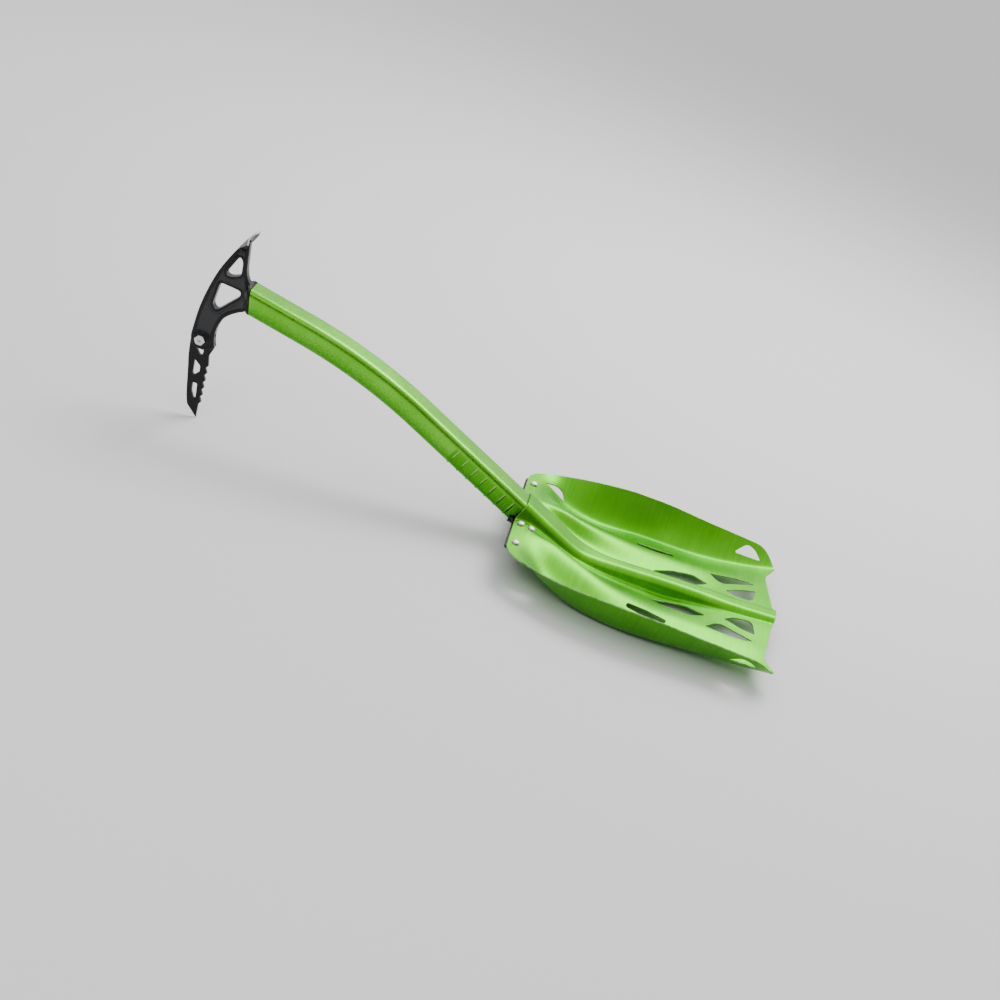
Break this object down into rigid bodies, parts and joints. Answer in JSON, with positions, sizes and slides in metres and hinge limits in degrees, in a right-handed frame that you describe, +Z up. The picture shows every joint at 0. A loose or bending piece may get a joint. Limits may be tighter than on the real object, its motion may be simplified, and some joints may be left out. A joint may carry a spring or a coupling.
{
  "type": "avalanche shovel",
  "caption": "Avalanche shovel whose short bent handle is an ice axe head with an adze and a bolted pick; the shaft pulls out of a pressed sheet blade with a stiffening ridge.",
  "frame": {"origin": "centre of the object's outline on the ground, where it lies scoop upwards on the blade's heel and the tip of the pick", "axes": "+X along the blade towards its lip, with the head at -X; +Z up out of the scoop; XZ is the plane of symmetry of the blade and shaft"},
  "size_m": [0.6692, 0.2668, 0.2118],
  "materials": {
    "blade_anodised": "green anodised, satin",
    "shaft_anodised": "green anodised, blasted",
    "bracket_black": "black anodised, satin",
    "rivet_aluminium": "bright",
    "head_black": "black anodised, satin",
    "pick_black": "black coated, satin",
    "bolt_steel": "bright zinc plated",
    "spring_steel": "satin stainless",
    "plug_plastic": "moulded"
  },
  "bodies": {
    "blade": {"blade_sheet": "blade_anodised", "rear_bracket": "bracket_black", "blade_rivet_1": "rivet_aluminium", "blade_rivet_2": "rivet_aluminium", "blade_rivet_3": "rivet_aluminium", "blade_rivet_4": "rivet_aluminium", "blade_rivet_5": "rivet_aluminium", "blade_rivet_6": "rivet_aluminium"},
    "shaft": {"shaft_tube": "shaft_anodised", "shaft_end_plug": "plug_plastic", "snap_spring": "spring_steel", "axe_head": "head_black", "pick": "pick_black", "pick_bolt": "bolt_steel", "pick_nut": "bolt_steel", "pick_nut_washer": "bolt_steel"},
    "snap_button": {"snap_button": "spring_steel"}
  },
  "joints": [
    {"name": "shaft_pull_out", "type": "slide", "parent": "blade", "child": "shaft", "axis": [-0.91, 0, 0.4147], "range_m": [0, 0.06]},
    {"name": "snap_button_press", "type": "slide", "parent": "shaft", "child": "snap_button", "axis": [-0.4147, 0, -0.91], "range_m": [0, 0.0042], "stiffness_N_per_m": 1000, "springref_m": 0.009}
  ]
}
